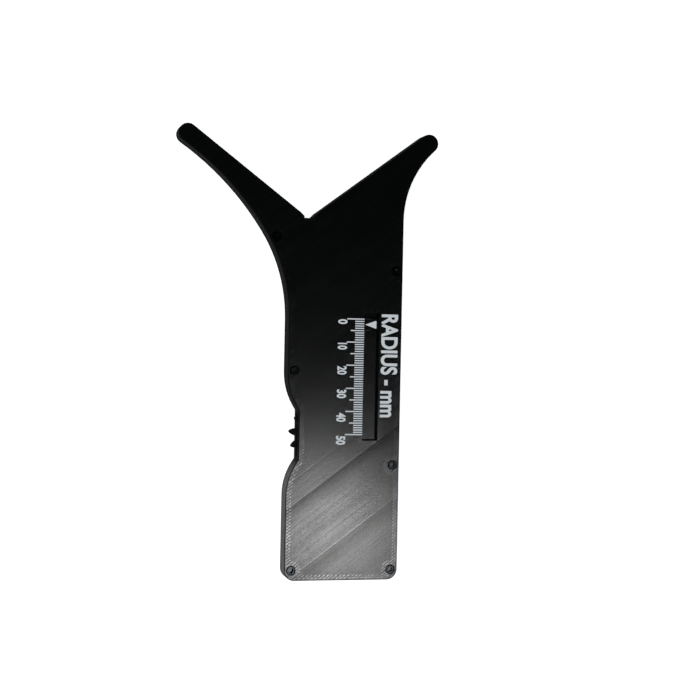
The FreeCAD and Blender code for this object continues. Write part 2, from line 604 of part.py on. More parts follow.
def thumb_gear():
    """Thumb gear whose teeth stand out of the body's side, with its pinion below it."""
    big_depth = f"({BIG_ROOT_DEPTH} / Sizes.big_module)"
    small_depth = f"({SMALL_ROOT_DEPTH} / Sizes.small_module)"
    big = tooth_ring("big_ring", "Sizes.big_module", "Sizes.big_teeth", "1", big_depth)
    small = tooth_ring("small_ring", "Sizes.small_module", "Sizes.small_teeth",
                       "Sizes.small_share", small_depth)
    big_low = "(Sizes.ledge_height + Sizes.height_gap)"
    small_low = "(Sizes.floor_thick + Sizes.height_gap)"
    wheel = disc_of(big, "wheel", big_low,
                    "Sizes.case_depth - Sizes.ledge_height - 2 * Sizes.height_gap",
                    "Sizes.gear_phase")
    pinion = disc_of(small, "pinion", small_low,
                     "Sizes.ledge_height - Sizes.floor_thick", "180")
    both = doc.addObject("Part::MultiFuse", "gear_blank")
    both.Shapes = [wheel, pinion]
    bore = doc.addObject("Part::Cylinder", "gear_bore")
    bore.setExpression("Radius", "Sizes.axle_radius + Sizes.axle_gap")
    bore.setExpression("Height", "Sizes.case_depth")
    bore.setExpression("Placement.Base.x", GEAR_X)
    bore.setExpression("Placement.Base.y", GEAR_Y)
    gear = doc.addObject("Part::Cut", "thumb_gear")
    gear.Label = "thumb_gear"
    gear.Base = both
    gear.Tool = bore
    parts.append(gear)


def gear_axle():
    """Steel dowel between the two shells."""
    dowel = doc.addObject("Part::Cylinder", "gear_axle")
    dowel.Label = "gear_axle"
    dowel.setExpression("Radius", "Sizes.axle_radius")
    dowel.setExpression("Height", "Sizes.case_depth - Sizes.floor_thick + 2 * Sizes.axle_seat")
    dowel.setExpression("Placement.Base.x", GEAR_X)
    dowel.setExpression("Placement.Base.y", GEAR_Y)
    dowel.setExpression("Placement.Base.z", "Sizes.floor_thick - Sizes.axle_seat")
    parts.append(dowel)


def at_screws(name, make):
    """One node of six separate solids, one at each screw place."""
    group = doc.addObject("Part::Compound", name)
    group.Label = name
    group.Links = [make(f"{name}_{number}", x, y)
                   for number, (x, y) in enumerate(SCREW_PLACES, 1)]
    parts.append(group)


def primitive(kind, name, x, y, z, **sizes):
    """Upright cylinder or prism at a place, each size bound to an expression."""
    thing = doc.addObject(kind, name)
    for field, expression in sizes.items():
        thing.setExpression(field, expression)
    for axis, expression in (("x", x), ("y", y), ("z", z)):
        thing.setExpression("Placement.Base." + axis, expression)
    return thing


def one_screw(name, x, y):
    """Cap screw with a hexagon socket."""
    head = primitive("Part::Cylinder", name + "_head", x, y, HEAD_SEAT,
                     Radius="Sizes.head_radius", Height="Sizes.head_height")
    shank = primitive("Part::Cylinder", name + "_shank", x, y,
                      f"{HEAD_SEAT} - Sizes.shank_length",
                      Radius="Sizes.shank_radius", Height="Sizes.shank_length")
    socket = primitive("Part::Prism", name + "_socket", x, y,
                       f"{FRONT} - Sizes.head_sunk - Sizes.socket_depth",
                       Circumradius="Sizes.socket_radius", Height="Sizes.socket_depth")
    blank = doc.addObject("Part::MultiFuse", name + "_blank")
    blank.Shapes = [head, shank]
    screw = doc.addObject("Part::Cut", name)
    screw.Base = blank
    screw.Tool = socket
    return screw


def one_insert(name, x, y):
    """Brass sleeve melted into the housing, threaded inside for the screw."""
    low = "Sizes.case_depth - Sizes.insert_length"
    sleeve = primitive("Part::Cylinder", name + "_sleeve", x, y, low,
                       Radius="Sizes.insert_radius", Height="Sizes.insert_length")
    thread = primitive("Part::Cylinder", name + "_thread", x, y, low,
                       Radius="Sizes.shank_radius", Height="Sizes.insert_length")
    insert = doc.addObject("Part::Cut", name)
    insert.Base = sleeve
    insert.Tool = thread
    return insert


rear_housing()
front_cover()
scale_marks()
probe()
thumb_gear()
gear_axle()
pointer_slide()
pointer_arrow()
at_screws("cover_screws", one_screw)
at_screws("thread_inserts", one_insert)
doc.recompute()

for item in doc.Objects:
    if "Invalid" in item.State or "Error" in item.State:
        raise RuntimeError(f"{item.Label} is {item.State}")
for sketch in doc.findObjects("Sketcher::SketchObject"):
    if sketch.solve() != 0 or not sketch.FullyConstrained:
        raise RuntimeError(f"{sketch.Label} isn't fully set")
for cut in cuts:
    if cut.Shape.Volume > cut.BaseFeature.Shape.Volume - LEAST_CUT:
        raise RuntimeError(f"{cut.Label} cuts nothing")
os.makedirs("parts", exist_ok=True)
for part in parts:
    if part.Shape.isNull() or not part.Shape.isValid():
        raise RuntimeError(f"{part.Label} has no valid shape")
    part.Shape.exportStep(os.path.join("parts", part.Label + ".step"))
    box = part.Shape.BoundBox
    print(f"{part.Label}: {len(part.Shape.Solids)} solids, {part.Shape.Volume:.1f} mm3,",
          f"x {box.XMin:.2f} {box.XMax:.2f}, y {box.YMin:.2f} {box.YMax:.2f},",
          f"z {box.ZMin:.2f} {box.ZMax:.2f}")
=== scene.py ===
# %% [markdown]
# # An adjustable radius gauge, dressed for its picture
# The gauge is a 3-D printed tool. A round work piece rests in the V, a probe touches it from
# below, and a rack, pinion and gear move a white pointer along a white scale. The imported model
# brings every solid at its true place and size, so this script only gives the surfaces: print
# lines, white inlays, screws, and then light and a camera at the photograph's angle.

# %% Load the frame
import math
import bmesh
import bpy
import numpy as np
from mathutils import Matrix, Vector


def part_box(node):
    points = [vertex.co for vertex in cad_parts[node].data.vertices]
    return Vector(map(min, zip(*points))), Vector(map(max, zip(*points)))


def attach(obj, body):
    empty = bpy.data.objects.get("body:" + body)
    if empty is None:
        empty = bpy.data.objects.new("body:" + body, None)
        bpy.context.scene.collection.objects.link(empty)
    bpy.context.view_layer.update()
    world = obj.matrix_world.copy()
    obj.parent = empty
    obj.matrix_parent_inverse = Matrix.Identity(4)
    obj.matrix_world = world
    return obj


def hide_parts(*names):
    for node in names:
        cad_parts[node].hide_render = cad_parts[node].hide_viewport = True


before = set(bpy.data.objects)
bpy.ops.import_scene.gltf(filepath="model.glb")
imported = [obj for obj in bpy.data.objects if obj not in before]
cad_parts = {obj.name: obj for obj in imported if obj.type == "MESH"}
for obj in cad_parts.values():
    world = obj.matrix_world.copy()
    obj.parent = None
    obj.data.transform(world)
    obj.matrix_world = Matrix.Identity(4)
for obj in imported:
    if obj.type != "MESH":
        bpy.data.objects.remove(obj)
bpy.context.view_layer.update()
MM = 0.001

# %% [markdown]
# ## Colours and nodes
# A colour is given as an sRGB hex value, but the shaders add up light in linear numbers,
# so one function turns the first into the second. The next adds one shader node, sets its
# properties and either fills or links its inputs, so that a material reads like a recipe. The
# last starts a material and fills those inputs of its shader that are the same all over.

# %% Helpers for materials
# Refraction of PLA
PLA_IOR = 1.46


def linear(hex_code):
    """Linear RGBA of an sRGB hex colour."""
    channels = [int(hex_code[i:i + 2], 16) / 255 for i in (1, 3, 5)]
    return [c / 12.92 if c <= 0.04045 else ((c + 0.055) / 1.055) ** 2.4 for c in channels] + [1.0]


def add(tree, kind, inputs=(), **settings):
    """Adds one node with its settings, and fills its inputs or links them to nodes and outputs.

    An input that shares its name with others of its node is given by its number.
    """
    made = tree.nodes.new("ShaderNode" + kind)
    for name, setting in settings.items():
        setattr(made, name, setting)
    for name, given in dict(inputs).items():
        if isinstance(given, bpy.types.Node):
            given = given.outputs[0]
        if isinstance(given, bpy.types.NodeSocket):
            tree.links.new(given, made.inputs[name])
        else:
            made.inputs[name].default_value = given
    return made


def new_material(name, **surface):
    """An empty material with a Principled shader, whose named inputs are set to constants."""
    material = bpy.data.materials.new(name)
    material.use_nodes = True
    tree = material.node_tree
    shader = tree.nodes["Principled BSDF"]
    for socket, number in surface.items():
        shader.inputs[socket.replace("_", " ")].default_value = number
    return material, tree, shader


# %% [markdown]
# ## Black print, top skin
# The shells, the gear and the sliding parts are black PLA laid down by a 0.4 mm nozzle. The top
# skin is straight lines side by side that run up to the right. Where the nozzle turned back at
# an edge it left two rows of bright dashes, and where two passes met it left a seam: a bright
# line with a dull band below it. Black plastic has almost no colour of its own, so all this
# shows only in the light it mirrors: the lines differ in roughness, and the dashes and seams in
# the strength of the mirror. The skin reads its distance to the nearest edge from an attribute
# that the piece brings along.

# %% Sizes of the print lines
# A real line is 0.42 mm wide, under one pixel, so lines are drawn in pairs
LINE_PAIR = 0.85
LINE_SLOPE = math.radians(37.0)
# Uneven spots are narrow across the lines and long along them, and wide patches lie over them
GRAIN_ACROSS, GRAIN_ALONG = 0.55, 1.6
SKIN_PATCHES_PER_MM = 0.12
# What grain, patches and the lines' own shape each take of the unevenness mixed so far
GRAIN_SHARE, PATCH_SHARE, RIDGE_SHARE = 0.7, 0.3, 0.25
# The mixture hardly leaves this range, which is stretched over the whole range of the gloss
UNEVEN_LOW, UNEVEN_HIGH = 0.25, 0.75
SKIN_GLOSS = (0.125, 0.23)
# Heights of the relief in mm
SKIN_RIDGE, GRAIN_RIDGE = 0.004, 0.014
# The strength of the mirror on plain skin, as a specular level
MIRRORED = 0.4
# The nozzle turned once for each pair of lines, which is drawn a little coarser to stay visible
DASH_PAIR = 1.1
# The rows of dashes begin just inside the edge
ROWS_FROM, ROW_WIDTH, ROWS = 0.1, 1.05, 2
# How much stronger a row mirrors on average, and how much its dashes and gaps differ
ROW_LIFT, DASH_CONTRAST = 0.4, 2.5
# The mean height of a round ridge, which is taken off so that the dashes leave a row's mean alone
MEAN_RIDGE = 2 / math.pi
# The distance in mm that is kept at points off the skin
FAR_FROM_EDGES = 99.0
# Each seam: its place across the lines, how much duller the band below it is, and its width
SEAMS = ((-86.9, 0.22, 2.2), (-95.3, 0.52, 5.0), (-120.1, 0.3, 9.0))
# The bright line of a seam: its width and how much stronger it mirrors
SEAM_LINE, SEAM_LIFT = 0.6, 0.25
print("line pairs are", LINE_PAIR, "mm wide and dashes", DASH_PAIR, "mm apart in", ROWS, "rows")


# %% Helpers for printed surfaces
def ridges(tree, along, width):
    """Round ridges of a width in mm, from 0 in the grooves to 1 on top, and their number."""
    count = add(tree, "Math", {0: along, 1: width}, operation="DIVIDE")
    turned = add(tree, "Math", {0: count, 1: math.pi}, operation="MULTIPLY")
    wave = add(tree, "Math", {0: turned}, operation="SINE")
    return (add(tree, "Math", {0: wave}, operation="ABSOLUTE"),
            add(tree, "Math", {0: count}, operation="FLOOR"))


def millimetres(tree):
    """The place on the object in mm, also turned so that its Y runs across the print lines."""
    coordinates = add(tree, "TexCoord").outputs["Object"]
    place = add(tree, "VectorMath", {0: coordinates, "Scale": 1 / MM}, operation="SCALE")
    return place, add(tree, "Mapping", {"Vector": place, "Rotation": (0, 0, -LINE_SLOPE)})


# %% Seams and dashes
def seam_light(tree, across):
    """How much stronger the seams mirror, and how much weaker the bands below them."""
    total = 0.0
    for place, dull, band in SEAMS:
        line = add(tree, "Math", {0: across, 1: place + SEAM_LINE / 2, 2: SEAM_LINE / 2},
                   operation="COMPARE")
        bright = add(tree, "Math", {0: line, 1: SEAM_LIFT, 2: total}, operation="MULTIPLY_ADD")
        below = add(tree, "Math", {0: across, 1: place}, operation="LESS_THAN")
        fade = add(tree, "MapRange", {"Value": across, "From Min": place - band, "From Max": place,
                                      "To Min": 0.0, "To Max": -dull})
        total = add(tree, "Math", {0: below, 1: fade, 2: bright}, operation="MULTIPLY_ADD")
    return total


def edge_light(tree, across):
    """How much stronger the rows of dashes along an edge mirror."""
    gap = add(tree, "Attribute", attribute_name="edge_gap").outputs["Fac"]
    inwards = add(tree, "Math", {0: gap, 1: ROWS_FROM}, operation="SUBTRACT")
    row, number = ridges(tree, inwards, ROW_WIDTH)
    # The rows that count have the numbers 0 and 1
    counted = add(tree, "Math", {0: number, 1: (ROWS - 1) / 2, 2: ROWS / 2}, operation="COMPARE")
    in_row = add(tree, "Math", {0: row, 1: counted}, operation="MULTIPLY")
    dash, _ = ridges(tree, across, DASH_PAIR)
    light = add(tree, "Math", {0: dash, 1: DASH_CONTRAST, 2: ROW_LIFT - DASH_CONTRAST * MEAN_RIDGE},
                operation="MULTIPLY_ADD")
    return add(tree, "Math", {0: in_row, 1: light}, operation="MULTIPLY")


# %% Black PLA, top skin
def printed_skin(name, whole_face=False):
    """Satin black skin of straight lines. A whole face also has seams and rows of dashes."""
    material, tree, shader = new_material(name, IOR=PLA_IOR, Specular_IOR_Level=MIRRORED)
    place, turned = millimetres(tree)
    across = add(tree, "SeparateXYZ", {0: turned}).outputs["Y"]
    lines, line = ridges(tree, across, LINE_PAIR)
    # Each line is laid a little differently, and unevenly along its length
    chance = add(tree, "TexWhiteNoise", {"W": line}, noise_dimensions="1D").outputs["Value"]
    stretched = add(tree, "Mapping", {"Vector": turned,
                                      "Scale": (1 / GRAIN_ALONG, 1 / GRAIN_ACROSS, 1.0)})
    grain = add(tree, "TexNoise", {"Vector": stretched, "Scale": 1.0, "Detail": 2.0})
    patches = add(tree, "TexNoise", {"Vector": place, "Scale": SKIN_PATCHES_PER_MM, "Detail": 3.0})
    uneven = add(tree, "Mix", {0: GRAIN_SHARE, 2: chance, 3: grain})
    uneven = add(tree, "Mix", {0: PATCH_SHARE, 2: uneven, 3: patches})
    uneven = add(tree, "Mix", {0: RIDGE_SHARE, 2: uneven, 3: lines})
    rough_low, rough_high = SKIN_GLOSS
    gloss = add(tree, "MapRange", {"Value": uneven, "From Min": UNEVEN_LOW, "From Max": UNEVEN_HIGH,
                                   "To Min": rough_low, "To Max": rough_high})
    tree.links.new(gloss.outputs[0], shader.inputs["Roughness"])
    tone = add(tree, "ValToRGB", {0: uneven})
    tone.color_ramp.elements[0].color = linear("#030404")
    tone.color_ramp.elements[1].color = linear("#070808")
    tree.links.new(tone.outputs[0], shader.inputs["Base Color"])
    height = add(tree, "Math", {0: lines, 1: SKIN_RIDGE}, operation="MULTIPLY")
    height = add(tree, "Math", {0: grain, 1: GRAIN_RIDGE, 2: height}, operation="MULTIPLY_ADD")
    bump = add(tree, "Bump", {"Height": height, "Distance": MM})
    tree.links.new(bump.outputs[0], shader.inputs["Normal"])
    if whole_face:
        light = add(tree, "Math", {0: seam_light(tree, across), 1: edge_light(tree, across)},
                    operation="ADD")
        level = add(tree, "Math", {0: light, 1: MIRRORED, 2: MIRRORED}, operation="MULTIPLY_ADD",
                    use_clamp=True)
        tree.links.new(level.outputs[0], shader.inputs["Specular IOR Level"])
    return material


face_skin = printed_skin("black PLA, printed face", whole_face=True)
part_skin = printed_skin("black PLA, printed small parts")
print("skins:", face_skin.name, "and", part_skin.name)

# %% [markdown]
# ## Black print, walls
# A printed wall is a stack of rounded layers. Between them the light is lost, so a wall mirrors
# hardly anything and looks dull and dark, with a fine line at every layer. Only at the grip have
# hands polished it, and there it mirrors the bright bench as a grey strip beside the face.

# %% Black PLA, walls
# Real layers are 0.2 mm, under one pixel from the sides, so they are drawn twice as coarse
LAYER, LAYER_RIDGE = 0.4, 0.06
WALL_PATCHES_PER_MM, WALL_PATCH_SHARE = 0.3, 0.5
WALL_GLOSS = (0.55, 0.75)
# The strength of the mirror on a dull and on a polished wall
WALL_MIRRORED = (0.006, 0.4)
# Where along Y the polish begins, and where it is complete
GRIP_BEGINS, GRIP_POLISHED = -104.0, -110.0


def printed_wall(name):
    """Dull black wall of stacked layers, polished at the grip."""
    material, tree, shader = new_material(name, IOR=PLA_IOR)
    place, _ = millimetres(tree)
    axes = add(tree, "SeparateXYZ", {0: place})
    dull, polished = WALL_MIRRORED
    mirrored = add(tree, "MapRange", {"Value": axes.outputs["Y"],
                                      "From Min": GRIP_BEGINS, "From Max": GRIP_POLISHED,
                                      "To Min": dull, "To Max": polished})
    tree.links.new(mirrored.outputs[0], shader.inputs["Specular IOR Level"])
    layers, layer = ridges(tree, axes.outputs["Z"], LAYER)
    chance = add(tree, "TexWhiteNoise", {"W": layer}, noise_dimensions="1D").outputs["Value"]
    patches = add(tree, "TexNoise", {"Vector": place, "Scale": WALL_PATCHES_PER_MM, "Detail": 3.0})
    uneven = add(tree, "Mix", {0: WALL_PATCH_SHARE, 2: chance, 3: patches})
    rough_low, rough_high = WALL_GLOSS
    gloss = add(tree, "MapRange", {"Value": uneven, "To Min": rough_low, "To Max": rough_high})
    tree.links.new(gloss.outputs[0], shader.inputs["Roughness"])
    tone = add(tree, "ValToRGB", {0: uneven})
    tone.color_ramp.elements[0].color = linear("#08090a")
    tone.color_ramp.elements[1].color = linear("#191a1b")
    tree.links.new(tone.outputs[0], shader.inputs["Base Color"])
    height = add(tree, "Math", {0: layers, 1: LAYER_RIDGE}, operation="MULTIPLY")
    bump = add(tree, "Bump", {"Height": height, "Distance": MM})
    tree.links.new(bump.outputs[0], shader.inputs["Normal"])
    return material


wall_black = printed_wall("black PLA, printed walls")
print("materials so far:", len(bpy.data.materials))

# %% [markdown]
# ## White print, steel, black screws and brass
# The scale and the lettering are white filament printed into the face, slightly greyed by what
# lies under it. The dowel is ground steel. The screws are blackened steel, an oxide finish
# that stays dark but glints on its edges. The inserts are turned brass, hidden in the housing.

# %% The smaller materials
def fine_grain(tree, shader, grain_mm, low, high, depth_mm):
    """Adds a fine noise that varies the gloss and the relief of a surface."""
    coordinates = add(tree, "TexCoord").outputs["Object"]
    grain = add(tree, "TexNoise", {"Vector": coordinates, "Scale": 1 / (grain_mm * MM),
                                   "Detail": 4.0})
    gloss = add(tree, "MapRange", {"Value": grain, "To Min": low, "To Max": high})
    tree.links.new(gloss.outputs[0], shader.inputs["Roughness"])
    bump = add(tree, "Bump", {"Height": grain, "Distance": depth_mm * MM})
    tree.links.new(bump.outputs[0], shader.inputs["Normal"])


white_pla, white_tree, white_shader = new_material("white PLA, printed inlay", IOR=PLA_IOR,
                                                   Base_Color=linear("#e4ebf0"))
fine_grain(white_tree, white_shader, grain_mm=0.5, low=0.45, high=0.65, depth_mm=0.02)
black_steel, screw_tree, screw_shader = new_material("alloy steel, black oxide", Metallic=1.0,
                                                     Base_Color=linear("#303234"))
fine_grain(screw_tree, screw_shader, grain_mm=0.6, low=0.14, high=0.26, depth_mm=0.01)
bright_steel, dowel_tree, dowel_shader = new_material("bearing steel, ground", Metallic=1.0,
                                                      Base_Color=linear("#c5c6c8"))
fine_grain(dowel_tree, dowel_shader, grain_mm=0.2, low=0.15, high=0.3, depth_mm=0.002)
brass, brass_tree, brass_shader = new_material("brass, turned", Metallic=1.0,
                                               Base_Color=linear("#d9b25f"))
fine_grain(brass_tree, brass_shader, grain_mm=0.2, low=0.2, high=0.35, depth_mm=0.003)
print("materials now:", len(bpy.data.materials))


# %% [markdown]
# ## The two shells
# The printed skin needs to know how far each point is from the nearest edge. A CAD face is a
# few large triangles, so a copy of it is cut into small squares by parallel planes, and each
# corner of a square gets its distance to the face's edges. The white lines' recesses don't
# count as edges, because the printer fills them in the same layer.

# %% Copies of CAD nodes
# A face gets the skin's material where its normal leans less than about 25 degrees
LEVEL_ENOUGH = 0.9
# Angles in degrees: faces are joined below the first and shaded smooth below the second
FLAT_BELOW, SMOOTH_BELOW = 0.3, 20.0
# Corners nearer than this are one corner, and heights nearer than that are one height
SAME_CORNER, SAME_HEIGHT = 0.001 * MM, 0.01 * MM


def within(place, box, margin=0.3 * MM):
    """Whether a place is in a box, given as its lowest and highest corner."""
    return bool(box) and all(low - margin <= number <= high + margin
                             for number, low, high in zip(place, *box))


def cad_copy(node, leave=()):
    """A bmesh of a CAD node, its triangles merged and its flat faces joined but for some edges."""
    shell = bmesh.new()
    shell.from_mesh(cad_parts[node].data)
    bmesh.ops.remove_doubles(shell, verts=shell.verts, dist=SAME_CORNER)
    joined = [e for e in shell.edges if not any(within(v.co, leave) for v in e.verts)]
    bmesh.ops.dissolve_limit(shell, angle_limit=math.radians(FLAT_BELOW), edges=joined,
                             verts=list({v for e in joined for v in e.verts}))
    return shell


def finish_piece(name, shell, material, body, stands_for=(), walls=None):
    """Makes an object of a bmesh, gives it its finish and lets it ride on a body.

    With a second material for walls, faces that aren't level get that one.
    """
    mesh = bpy.data.meshes.new(name)
    if walls:
        for face in shell.faces:
            face.material_index = int(abs(face.normal.z) < LEVEL_ENOUGH)
    shell.to_mesh(mesh)
    shell.free()
    mesh.materials.append(material)
    if walls:
        mesh.materials.append(walls)
    # A copy of a CAD node brings its old normals along, which no longer fit the new faces
    if "custom_normal" in mesh.attributes:
        mesh.attributes.remove(mesh.attributes["custom_normal"])
    mesh.shade_smooth()
    mesh.set_sharp_from_angle(angle=math.radians(SMOOTH_BELOW))
    piece = bpy.data.objects.new(name, mesh)
    bpy.context.scene.collection.objects.link(piece)
    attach(piece, body)
    if stands_for:
        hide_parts(*stands_for)
    print(name, len(mesh.polygons), "faces")
    return piece


def ink_depth(flat, depth):
    """Gives a flat shape its depth downwards."""
    below = bmesh.ops.extrude_face_region(flat, geom=flat.faces[:])["geom"]
    lower = [g for g in below if isinstance(g, bmesh.types.BMVert)]
    bmesh.ops.translate(flat, verts=lower, vec=(0, 0, -depth))
    bmesh.ops.recalc_face_normals(flat, faces=flat.faces)


# %% The printed skins
SQUARE = 1.5
INLAY_DEPTH = 0.4
# The front skin is lowered a little, so that it never shares a plane with the white inlays
SKIN_DROP = 0.03
# How upright the normal of a face on the skin is, and how level that of a recess's side
SKIN_LEVEL, SIDE_UPRIGHT = 0.99, 0.1


def skin_faces(shell, level, side):
    """Faces that lie at a height and look to a side, +1 up or -1 down."""
    return [f for f in shell.faces
            if f.normal.z * side > SKIN_LEVEL
            and abs(f.calc_center_median().z - level) < SAME_HEIGHT]


def skin_edges(shell, level, side):
    """Ends of the edges round a skin, apart from the shallow recesses of the inlays."""
    skin = set(skin_faces(shell, level, side))
    ends = []
    for edge in shell.edges:
        beside = [f for f in edge.link_faces if f not in skin]
        if len(beside) != 1 or len(edge.link_faces) != 2:
            continue
        deepest = max(abs(v.co.z - level) for v in beside[0].verts)
        shallow = deepest < 1.1 * INLAY_DEPTH * MM
        if not (shallow and abs(beside[0].normal.z) < SIDE_UPRIGHT):
            ends.append([v.co.xy[:] for v in edge.verts])
    return np.array(ends)


def cut_in_squares(shell, level, side):
    """Cuts a skin by planes, so that a distance can be kept at each of its points."""
    corners = np.array([v.co for f in skin_faces(shell, level, side) for v in f.verts])
    for axis in (0, 1):
        normal = [float(axis == i) for i in range(3)]
        for place in np.arange(corners[:, axis].min(), corners[:, axis].max(), SQUARE * MM)[1:]:
            skin = skin_faces(shell, level, side)
            around = {e for f in skin for e in f.edges} | {v for f in skin for v in f.verts}
            bmesh.ops.bisect_plane(shell, geom=skin + list(around), dist=SAME_CORNER,
                                   plane_co=[n * float(place) for n in normal], plane_no=normal)


def distances(points, ends):
    """Distance of each point to the nearest of many short lines, in the lines' own plane."""
    start, along = ends[:, 0], ends[:, 1] - ends[:, 0]
    lengths = np.maximum((along ** 2).sum(1), 1e-18)
    nearest = np.full(len(points), np.inf)
    for begin, step, square in zip(start, along, lengths):
        share = np.clip((points - begin) @ step / square, 0, 1)
        nearest = np.minimum(nearest, np.hypot(*(points - begin - share[:, None] * step).T))
    return nearest


def printed_shell(name, node, level, side, body):
    """A copy of a shell whose printed skin knows the distance to its edges."""
    shell = cad_copy(node)
    ends = skin_edges(shell, level, side)
    cut_in_squares(shell, level, side)
    shell.verts.index_update()
    skin = [v for v in shell.verts if abs(v.co.z - level) < SAME_HEIGHT]
    gaps = np.full(len(shell.verts), FAR_FROM_EDGES)
    gaps[[v.index for v in skin]] = distances(np.array([v.co.xy[:] for v in skin]), ends) / MM
    if side > 0:
        bmesh.ops.translate(shell, verts=skin, vec=(0, 0, -SKIN_DROP * MM))
    piece = finish_piece(name, shell, face_skin, body, (node,), wall_black)
    gap = piece.data.attributes.new("edge_gap", "FLOAT", "POINT")
    gap.data.foreach_set("value", gaps.astype(np.float32))
    print(name, "skin of", len(skin), "points,", len(ends), "edges round it")
    return piece


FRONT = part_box("front_cover")[1].z
printed_shell("front_shell", "front_cover", FRONT, 1, "case")
printed_shell("rear_shell", "rear_housing", 0.0, -1, "case")


# %% [markdown]
# ## Small printed parts
# The gear, the slide and the probe keep their CAD shape, but a printed edge is never sharp. A
# narrow bevel on a copy gives each edge the thin highlight that it has in the photograph.

# %% Gear, slide and probe
EDGE_ROUND = 0.15
# Edges that turn by more than this angle in degrees are rounded
SHARP_ABOVE = 35.0


def softened(name, node, material, body, leave=()):
    """A copy of a CAD node with its sharp edges rounded a little, but not those in a box."""
    shell = cad_copy(node, leave)
    sharp = [e for e in shell.edges
             if e.is_manifold and e.calc_face_angle() > math.radians(SHARP_ABOVE)
             and not any(within(v.co, leave) for v in e.verts)]
    bmesh.ops.bevel(shell, geom=sharp, offset=EDGE_ROUND * MM, segments=2, profile=0.5,
                    affect="EDGES", clamp_overlap=True, material=-1)
    finish_piece(name, shell, material, body, (node,), wall_black)


# The wheel's thin teeth are all outer wall, so it is dull on its level faces too
softened("thumb_wheel", "thumb_gear", wall_black, "gear")
softened("sliding_pointer", "pointer_slide", part_skin, "slide",
         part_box("pointer_arrow"))
softened("touch_probe", "probe", part_skin, "probe")

# %% [markdown]
# ## White arrow
# The pointer's arrow is white print too. The nozzle can't turn a sharp corner, so the two outer
# corners of the triangle are rounded: a bevel of vertices does it before the face gets its depth.

# %% Pointer arrow
ARROW_CORNER = 0.55
arrow_low, arrow_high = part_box("pointer_arrow")
arrow_middle = (arrow_low.y + arrow_high.y) / 2
arrow = bmesh.new()
corners = [arrow.verts.new(place) for place in ((arrow_low.x, arrow_middle, arrow_high.z),
                                                (arrow_high.x, arrow_low.y, arrow_high.z),
                                                (arrow_high.x, arrow_high.y, arrow_high.z))]
arrow.faces.new(corners)
bmesh.ops.bevel(arrow, geom=corners[1:], offset=ARROW_CORNER * MM, segments=4, profile=0.5,
                affect="VERTICES", material=-1)
ink_depth(arrow, arrow_high.z - arrow_low.z)
finish_piece("white_arrow", arrow, white_pla, "slide", ("pointer_arrow",))

# %% [markdown]
# ## Cover screws
# Six small socket head screws hold the cover. A screw is a turned part, so half its outline is
# spun round its axis. Its hexagon socket can't be spun: a six-sided ring is bridged to the round
# edge, pulled down and closed. In the render each is a dark ring with a glint in its middle.

# %% Socket head screws
SCREW_PLACES = ((-14.0, -8.0), (38.9, -21.5), (-5.1, -65.1), (38.9, -105.7), (-5.1, -151.1),
                (38.9, -151.1))
HEAD_RADIUS, HEAD_HEIGHT, HEAD_CHAMFER = 1.9, 2.0, 0.4
SHANK_RADIUS, SHANK_TIP = 1.0, 0.3
SOCKET_RIM, SOCKET_ACROSS_CORNERS, SOCKET_DEPTH, SOCKET_CHAMFER = 1.25, 2.1, 1.2, 0.25
ROUND_STEPS = 48


def socket_screw(top, bottom):
    """One screw on the Z axis, between two heights in mm."""
    screw = bmesh.new()
    seat = top - HEAD_HEIGHT
    outline = [(SOCKET_RIM, top), (HEAD_RADIUS - HEAD_CHAMFER, top),
               (HEAD_RADIUS, top - HEAD_CHAMFER), (HEAD_RADIUS, seat), (SHANK_RADIUS, seat),
               (SHANK_RADIUS, bottom + SHANK_TIP), (SHANK_RADIUS - SHANK_TIP, bottom), (0, bottom)]
    points = [screw.verts.new((radius * MM, 0, height * MM)) for radius, height in outline]
    half = [screw.edges.new(pair) for pair in zip(points, points[1:])]
    bmesh.ops.spin(screw, geom=points + half, cent=(0, 0, 0), axis=(0, 0, 1), angle=2 * math.pi,
                   steps=ROUND_STEPS, use_merge=True)
    bmesh.ops.remove_doubles(screw, verts=screw.verts, dist=SAME_CORNER)
    rim = [e for e in screw.edges if e.is_boundary]
    ring = bmesh.ops.create_circle(screw, segments=6, radius=SOCKET_ACROSS_CORNERS / 2 * MM,
                                   matrix=Matrix.Translation((0, 0, (top - SOCKET_CHAMFER) * MM)))
    hexagon = list({e for v in ring["verts"] for e in v.link_edges})
    bmesh.ops.bridge_loops(screw, edges=rim + hexagon)
    deep = bmesh.ops.extrude_edge_only(screw, edges=hexagon)["geom"]
    floor_corners = [g for g in deep if isinstance(g, bmesh.types.BMVert)]
    bmesh.ops.translate(screw, verts=floor_corners, vec=(0, 0, -SOCKET_DEPTH * MM))
    bmesh.ops.contextual_create(screw, geom=[g for g in deep if isinstance(g, bmesh.types.BMEdge)])
    bmesh.ops.recalc_face_normals(screw, faces=screw.faces)
    return screw


screws_low, screws_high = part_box("cover_screws")
one_screw = socket_screw(screws_high.z / MM, screws_low.z / MM)
one_mesh = bpy.data.meshes.new("one_screw")
one_screw.to_mesh(one_mesh)
one_screw.free()
all_screws = bmesh.new()
for x, y in SCREW_PLACES:
    before = len(all_screws.verts)
    all_screws.from_mesh(one_mesh)
    all_screws.verts.ensure_lookup_table()
    bmesh.ops.translate(all_screws, verts=all_screws.verts[before:], vec=(x * MM, y * MM, 0))
bpy.data.meshes.remove(one_mesh)
finish_piece("socket_screws", all_screws, black_steel, "case", ("cover_screws",))

# %% [markdown]
# ## Scale numbers and legend
# The numbers and the legend are printed flush with the face, like the lines of the scale. They
# are read with the gauge turned a quarter, so their tops point right. Blender's own plain font
# serves: text becomes a mesh, is pulled to its measured length and height, and is sunk into the
# cover. Its top keeps the cover's true height, a hair above the lowered skin.

# %% Lettering
SCALE_ZERO = -42.5
NUMBER_BASE, NUMBER_TOP = 13.5, 17.7
